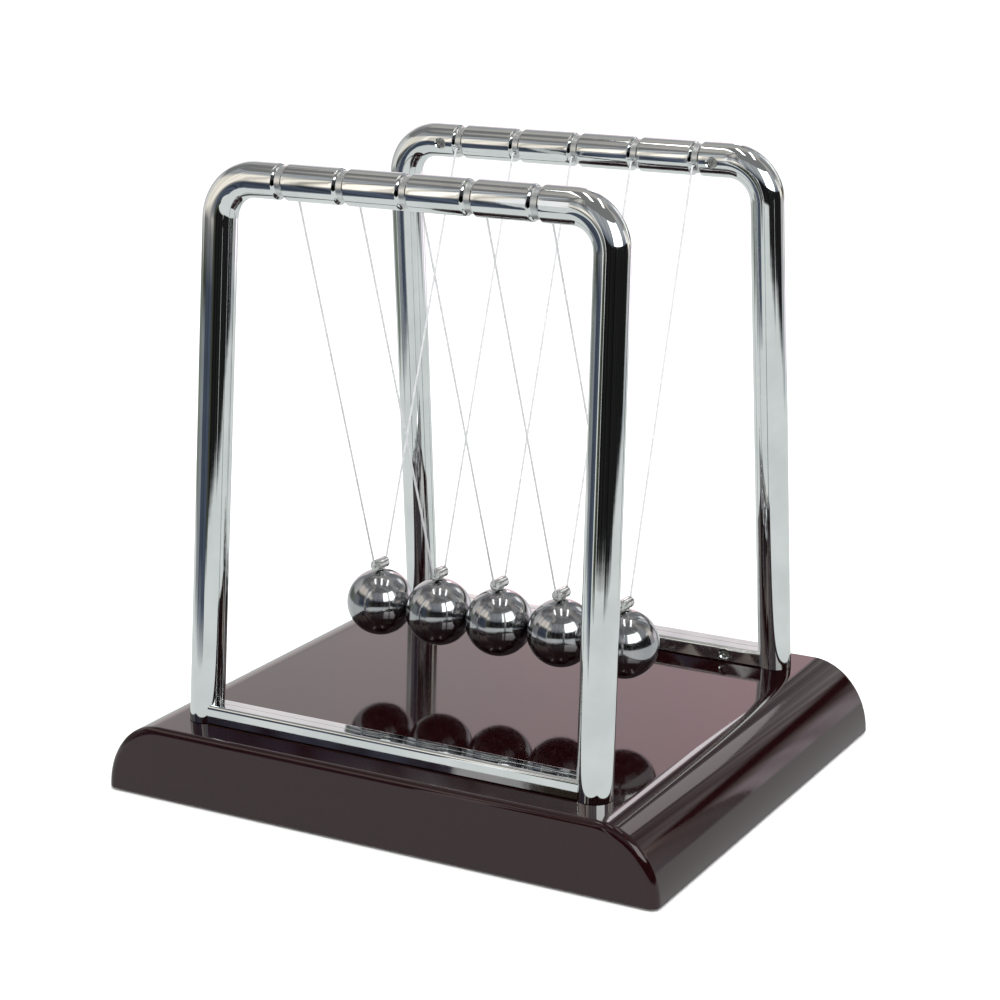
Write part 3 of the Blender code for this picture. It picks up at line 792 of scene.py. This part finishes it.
def make_hanger(number, material):
    """A rolled cross tube with an open slot along its side, on a short collar and stud."""
    centre, radius = ball_facts(number)
    top = centre + Vector((0, 0, radius + EYE_ABOVE_BALL))
    name = f"cross_tube_hanger_{number}"
    collar = -EYE_ABOVE_BALL + 0.1 * MM
    corners = [
        (0, collar - STUD_LENGTH, 0),
        (STUD_RADIUS, collar - STUD_LENGTH, 0.15 * MM),
        (STUD_RADIUS, collar, 0),
        (COLLAR_RADIUS, collar, 0.1 * MM),
        (COLLAR_RADIUS, collar + 0.45 * MM, 0.15 * MM),
        (0.9 * MM, collar + 0.7 * MM, 0.1 * MM),
        (0.8 * MM, 0, 0),
        (0, 0, 0),
    ]
    neck = turned_mesh(name, rounded_profile(corners), 48, Matrix.Translation(top))
    half = EYE_LENGTH / 2
    corners = [(0, -half, 0), (EYE_RADIUS, -half, 0.2 * MM), (EYE_RADIUS, half, 0.2 * MM), (0, half, 0)]
    tube_place = facing(top, (0, 1, 0))
    tube = turned_mesh(f"{name}_tube", rounded_profile(corners), 48, tube_place)
    bore = [(0, -2 * half), (EYE_BORE, -2 * half), (EYE_BORE, 2 * half), (0, 2 * half)]
    bore = turned_mesh(f"{name}_bore", bore, 32, tube_place)
    slot_low = (0, -0.28 * half, -SLOT_HALF_WIDTH)
    slot_high = (3 * MM, 0.62 * half, SLOT_HALF_WIDTH)
    slot = box_mesh(f"{name}_slot", slot_low, slot_high, facing(top, (0, 0, 1)))
    hanger = boolean(neck, tube, "UNION")
    hanger = boolean(hanger, bore, "DIFFERENCE")
    hanger = settle_normals(boolean(hanger, slot, "DIFFERENCE"))
    body = BALL_BODIES[number - 1]
    add_piece(name, hanger, material, body, "hanger_plate", f"ball_hanger_{number}")


def line_corners(number):
    """The line's turning points, from inside the front bar to inside the rear bar."""
    centre, radius = ball_facts(number)
    pivot = PIVOTS[BALL_BODIES[number - 1]]
    drop = BAR_HEIGHT - pivot.z
    face = FRAME_TOP.y - math.sqrt(TUBE_RADIUS**2 - drop**2)
    end = Vector((pivot.x, -face - LINE_END_INSIDE, pivot.z))
    mouth = Vector((pivot.x, -face + 0.5 * MM, pivot.z))
    eye = Vector((centre.x, -EYE_LENGTH / 2 - 0.2 * MM, centre.z + radius + EYE_ABOVE_BALL))
    front = [end, mouth, eye]
    rear = [Vector((point.x, -point.y, point.z)) for point in reversed(front)]
    return front + rear


def make_line(number, material):
    """One line, straight between the holes in the bars and the hanger it runs through."""
    corners = line_corners(number)
    route = [corners[0]]
    for before, corner, after in zip(corners, corners[1:], corners[2:]):
        route += corner_arc(before, corner, after, LINE_BEND_RADIUS, LINE_BEND_STEPS)
    route.append(corners[-1])
    curve = bpy.data.curves.new(f"clear_line_{number}", "CURVE")
    curve.dimensions = "3D"
    curve.bevel_depth = LINE_RADIUS
    curve.bevel_resolution = 4
    curve.use_fill_caps = True
    spline = curve.splines.new("POLY")
    spline.points.add(len(route) - 1)
    for point, place in zip(spline.points, route):
        point.co = (*place, 1.0)
    body = BALL_BODIES[number - 1]
    node = f"suspension_line_{number}"
    add_piece(f"clear_line_{number}", curve, material, body, "clear_nylon", node)


# ---------------------------------------------------------------- studio

CAMERA_PLACE = Vector((338.25, -610.14, 273.38)) * MM
CAMERA_TILT = math.radians(90 - 15.47)
CAMERA_TURN = math.radians(28.99)
CAMERA_LENS = 89.76

# The room that only the reflections see: upright curved cards around the object. Headings are
# in degrees from +X, turning towards +Y, and heights and radii are in metres.
FLOOR_SHADE = (0.76, 0.80, 0.79)
BLACK = (0.012, 0.012, 0.012)
NAVY = (0.060, 0.074, 0.106)
BLUE_GREY = (0.17, 0.19, 0.23)
OLIVE = (0.050, 0.054, 0.036)
GREEN_GREY = (0.20, 0.23, 0.19)
MID_GREY = (0.38, 0.40, 0.42)
DIM_GREY = (0.22, 0.22, 0.22)
WARM_GREY = (0.48, 0.46, 0.43)
CREAM = (1.02, 0.95, 0.84)
LIT_GREY = (0.75, 0.75, 0.73)
RAIL_GREY = (0.82, 0.78, 0.80)
BRIGHT_GREY = (1.22, 1.15, 1.22)
PALE_BLUE = (0.28, 0.30, 0.32)
BACKDROP = (1.04, 0.97, 0.96)
PINK = (1.36, 0.99, 1.05)


def mix(first, second, share):
    return tuple(a + (b - a) * share for a, b in zip(first, second))


def banded(shade):
    """A pale wall with two greyer bands, which the level tops of the two rails face."""
    shades = [(-0.01, shade), (0.22, shade), (0.23, RAIL_GREY), (0.285, RAIL_GREY), (0.295, shade)]
    shades += [(0.42, shade), (0.43, RAIL_GREY), (0.475, RAIL_GREY), (0.485, shade), (0.52, shade)]
    return shades + [(0.60, MID_GREY), (0.91, MID_GREY)]


HIGH_FRONT = [(0.32, MID_GREY), (0.39, MID_GREY), (0.42, DIM_GREY), (0.50, DIM_GREY)]
HIGH_FRONT += [(0.55, WARM_GREY), (0.91, WARM_GREY)]
LIT_WALL = [(0.135, NAVY), (0.155, DIM_GREY), (0.178, CREAM), (0.275, CREAM)] + HIGH_FRONT
OLIVE_WALL = [(0.0, OLIVE), (0.15, OLIVE), (0.19, DIM_GREY), (0.24, CREAM)] + HIGH_FRONT
FAR_WALL = [(0.10, BLACK), (0.27, BLACK), (0.31, BLUE_GREY), (0.48, MID_GREY), (0.91, MID_GREY)]
LEFT_WALL = [(0.0, GREEN_GREY), (0.11, GREEN_GREY), (0.14, LIT_GREY), (0.30, LIT_GREY)]
LEFT_WALL += [(0.36, DIM_GREY), (0.91, DIM_GREY)]
LEFT_FRONT_WALL = [(0.0, PALE_BLUE), (0.11, PALE_BLUE), (0.13, OLIVE)] + LIT_WALL[1:]
RIGHT_WALL = [(0.0, MID_GREY), (0.15, WARM_GREY), (0.20, CREAM), (0.40, DIM_GREY), (0.91, DIM_GREY)]
BACK_RIGHT_WALL = [(0.0, BRIGHT_GREY), (0.10, BRIGHT_GREY), (0.15, WARM_GREY), (0.185, BLACK)]
BACK_RIGHT_WALL += [(0.225, BLACK), (0.26, LIT_GREY), (0.37, MID_GREY), (0.91, MID_GREY)]

# The backdrop goes from pink to pale in cards of one degree each, from BLUSH_START on.
BACKDROP_RADIUS = 0.90
BLUSH_START = 108
BLUSH_STEPS = 20

# (name, from heading, to heading, radius, streaks, shades going up from the floor)
CARDS = [
    ("left", -195, -165, 0.40, 0.5, LEFT_WALL),
    ("left_front", -165, -143, 0.29, 0.45, LEFT_FRONT_WALL),
    ("blue_strip", -143, -139, 0.29, 0.3, [(0.0, NAVY)] + LIT_WALL),
    ("grey_strip", -139, -124, 0.27, 0.6, [(0.0, BLUE_GREY), (0.04, NAVY)] + LIT_WALL),
    ("front_left", -124, -108, 0.27, 0.7, [(0.0, NAVY), (0.06, NAVY)] + LIT_WALL),
    ("olive_strip", -108, -94, 0.44, 0.6, OLIVE_WALL),
    ("front", -94, -48, 0.57, 0.9, [(0.0, BLACK), (0.21, BLACK)]),
    ("front_right", -48, -14, 0.48, 0.9, [(0.0, BLACK), (0.19, BLACK)]),
    ("right_front", -14, 31, 0.57, 0.9, [(0.0, BLACK), (0.24, BLACK)]),
    ("far_front", -96, 24, 0.87, 0.3, FAR_WALL),
    ("right", 31, 50, 0.52, 0.5, RIGHT_WALL),
    ("back_right", 50, 101, 0.62, 0.6, BACK_RIGHT_WALL),
    ("back_pink", 101, BLUSH_START, BACKDROP_RADIUS, 0.0, banded(PINK)),
    ("back", 128, 150, BACKDROP_RADIUS, 0.0, banded(BACKDROP)),
    ("back_left", 150, 165, 0.60, 0.4, [(0.0, MID_GREY), (0.30, MID_GREY), (0.91, DIM_GREY)]),
]
for number in range(BLUSH_STEPS):
    blush = banded(mix(PINK, BACKDROP, (number + 0.5) / BLUSH_STEPS))
    heading = BLUSH_START + number
    CARDS.append((f"back_blush_{number}", heading, heading + 1, BACKDROP_RADIUS, 0.0, blush))

# Lamps that the reflections see in front of the cards.
LAMPS = [
    ("softbox", -50, -2, 0.86, 0.0, [(0.30, (3.6, 3.8, 3.7)), (0.89, (3.6, 3.8, 3.7))]),
    ("rim_lamp", 68, 84, 0.60, 0.0, [(0.34, (1.7, 1.7, 1.7)), (0.50, (1.7, 1.7, 1.7))]),
    ("edge_lamp", 104, 108.8, 0.89, 0.0, [(0.41, (4.0, 3.9, 4.0)), (0.60, (4.0, 3.9, 4.0))]),
]
FOOT_BLEND = 0.018
CEILING_HEIGHT = 0.91
CEILING = [(-1.5, DIM_GREY), (0.10, DIM_GREY), (0.18, WARM_GREY), (0.45, WARM_GREY), (0.60, MID_GREY)]
CEILING += [(1.5, MID_GREY)]

# Three strip lamps side by side under the ceiling, square to the camera's heading.
STRIP_HEADING = math.radians(29)
STRIP_SHIFT = 0.02
STRIP_SPACING = 0.26
STRIP_HEIGHT = 0.88
STRIP_HALF_WIDTH = 0.028
STRIP_HALF_LENGTH = 0.21
STRIP_SHADE = (4.0, 4.0, 4.0)


def glow_material():
    """One light-giving material for all cards, coloured by each card's own vertices."""
    material = bpy.data.materials.new("reflection_glow")
    material.use_nodes = True
    nodes = material.node_tree.nodes
    nodes.clear()
    output = nodes.new("ShaderNodeOutputMaterial")
    emission = nodes.new("ShaderNodeEmission")
    glow = nodes.new("ShaderNodeAttribute")
    glow.attribute_name = "glow"
    material.node_tree.links.new(glow.outputs["Color"], emission.inputs["Color"])
    material.node_tree.links.new(emission.outputs[0], output.inputs["Surface"])
    return material


def glow_card(name, columns, material):
    """A card made of columns of (place, colour), seen by reflections only."""
    count = len(columns[0])
    places = [place for column in columns for place, _ in column]
    faces = []
    for i in range(len(columns) - 1):
        for j in range(count - 1):
            corner = i * count + j
            faces.append((corner, corner + count, corner + count + 1, corner + 1))
    mesh = bpy.data.meshes.new(name)
    mesh.from_pydata(places, [], faces)
    glow = mesh.color_attributes.new("glow", "FLOAT_COLOR", "POINT")
    shades = [shade for column in columns for _, shade in column]
    for entry, shade in zip(glow.data, shades):
        entry.color = (*shade, 1.0)
    mesh.materials.append(material)
    card = bpy.data.objects.new(name, mesh)
    bpy.context.scene.collection.objects.link(card)
    card.visible_camera = False
    card.visible_diffuse = False
    card.visible_shadow = False
    card.visible_volume_scatter = False


def streak(heading, streaks):
    """A brightness factor that varies finely with the heading, the same each run."""
    broad = noise.noise(Vector((heading * 0.35, 3.7, 0.0)))
    fine = noise.noise(Vector((heading * 1.1, 9.1, 0.0)))
    return max(0.15, 1 + 1.6 * streaks * (broad + 0.6 * fine))


def curved_card(material, name, start, end, radius, streaks, shades):
    """A card on an arc. Its foot fades raggedly into the floor, as the foot of a dark room does."""
    steps = int((end - start) / 0.8)
    columns = []
    for step in range(steps + 1):
        degrees = start + (end - start) * step / steps
        across = Vector((math.cos(math.radians(degrees)), math.sin(math.radians(degrees)), 0)) * radius
        factor = streak(degrees, streaks)
        column = [(height, tuple(each * factor for each in shade)) for height, shade in shades]
        if column[0][0] == 0.0 and streaks:
            foot = column[0][1]
            ragged = FOOT_BLEND * (1 + 0.8 * noise.noise(Vector((degrees * 0.5, 5.5, 0.0))))
            column = [(0.0, mix(foot, FLOOR_SHADE, 0.8)), (ragged, foot)] + column[1:]
        columns.append([(across + Vector((0, 0, height)), shade) for height, shade in column])
    glow_card(name, columns, material)


def level_card(material, name, place, stops, half_width, height):
    """A level card, shaded along its length by (distance, colour), put in place with a matrix."""
    columns = []
    for side in (-half_width, half_width):
        columns.append([(place @ Vector((side, distance, height)), shade) for distance, shade in stops])
    glow_card(name, columns, material)


def make_reflections():
    material = glow_material()
    for card in CARDS + LAMPS:
        curved_card(material, *card)
    level = Matrix.Identity(4)
    level_card(material, "ceiling", level, CEILING, 1.5, CEILING_HEIGHT)
    floor = [(-3.0, FLOOR_SHADE), (3.0, FLOOR_SHADE)]
    level_card(material, "lower_floor", level, floor, 3.0, -0.2 * MM)
    strip = [(-STRIP_HALF_LENGTH, STRIP_SHADE), (STRIP_HALF_LENGTH, STRIP_SHADE)]
    for number in range(3):
        across = (number - 1) * STRIP_SPACING
        x = STRIP_SHIFT + across * math.cos(STRIP_HEADING)
        y = across * math.sin(STRIP_HEADING)
        place = Matrix.Translation((x, y, 0)) @ Matrix.Rotation(STRIP_HEADING, 4, "Z")
        level_card(material, f"strip_lamp_{number}", place, strip, STRIP_HALF_WIDTH, STRIP_HEIGHT)


def make_floor():
    bm = bmesh.new()
    bmesh.ops.create_grid(bm, x_segments=1, y_segments=1, size=6.0)
    mesh = bpy.data.meshes.new("floor")
    bm.to_mesh(mesh)
    bm.free()
    look = Look("pale_floor", (0.92, 0.92, 0.92), 0.9)
    look.set("Specular IOR Level", 0.0)
    look.colour(look.blend(look.noise(0.4), (0.915, 0.915, 0.915), (0.925, 0.925, 0.925)))
    mesh.materials.append(look.material)
    floor = bpy.data.objects.new("floor", mesh)
    bpy.context.scene.collection.objects.link(floor)
    floor.visible_glossy = False


def add_area_light(name, place, target, size, power):
    light = bpy.data.lights.new(name, "AREA")
    light.shape = "SQUARE"
    light.size = size
    light.energy = power
    lamp = bpy.data.objects.new(name, light)
    lamp.matrix_world = facing(place, Vector(place) - Vector(target))
    bpy.context.scene.collection.objects.link(lamp)
    lamp.visible_glossy = False
    lamp.visible_camera = False


def make_lights():
    world = bpy.data.worlds.new("white_surround")
    world.use_nodes = True
    world.node_tree.nodes["Background"].inputs["Color"].default_value = (1.0, 1.0, 1.0, 1.0)
    world.node_tree.nodes["Background"].inputs["Strength"].default_value = 1.12
    bpy.context.scene.world = world
    centre = (0, 0, 0.08)
    add_area_light("key_light", (0.9, -0.5, 1.1), centre, 0.8, 9.0)
    add_area_light("fill_light", (-0.9, -0.8, 0.9), centre, 0.9, 3.5)
    add_area_light("top_light", (0.0, 0.2, 1.3), centre, 1.0, 6.0)


def make_camera():
    data = bpy.data.cameras.new("camera")
    data.lens = CAMERA_LENS
    data.sensor_width = 36.0
    data.clip_start = 0.01
    data.clip_end = 100.0
    camera = bpy.data.objects.new("camera", data)
    camera.location = CAMERA_PLACE
    camera.rotation_euler = (CAMERA_TILT, 0, CAMERA_TURN)
    bpy.context.scene.collection.objects.link(camera)
    bpy.context.scene.camera = camera
    bpy.context.scene.view_settings.view_transform = "Standard"


def refinish(node, material):
    """Give a CAD node that stays visible a better material."""
    materials = frame["nodes"][node].data.materials
    materials.clear()
    materials.append(material)


def main():
    make_camera()
    make_floor()
    make_lights()
    make_reflections()

    chrome = chrome_look("frame_chrome", 0.03, 0.07)
    satin = chrome_look("groove_satin_chrome", 0.30, 0.42)
    # Near-black chrome for the painted shade on the groove walls.
    groove_shade_chrome = chrome_look("groove_painted_shade_chrome", 0.12, 0.20, PAINTED_SHADE_CHROME_LOW, PAINTED_SHADE_CHROME_HIGH)
    zinc = zinc_look()
    make_base_cover(burgundy_look())
    make_feet(rubber_look())
    make_plate_screws(zinc)
    for label in ("front", "rear"):
        make_frame_shells(label, (chrome, satin, groove_shade_chrome))
        make_frame_screws(label, zinc)
    steel = steel_look()
    nickel = nickel_look()
    nylon = nylon_look()
    for number in range(1, 6):
        make_ball(number, steel)
        make_hanger(number, nickel)
        make_line(number, nylon)

    refinish("base_bottom_plate", plate_look())
    for end, side in CORNERS:
        refinish(f"leg_screw_{end}_{side}", zinc)


main()
bpy.context.view_layer.update()
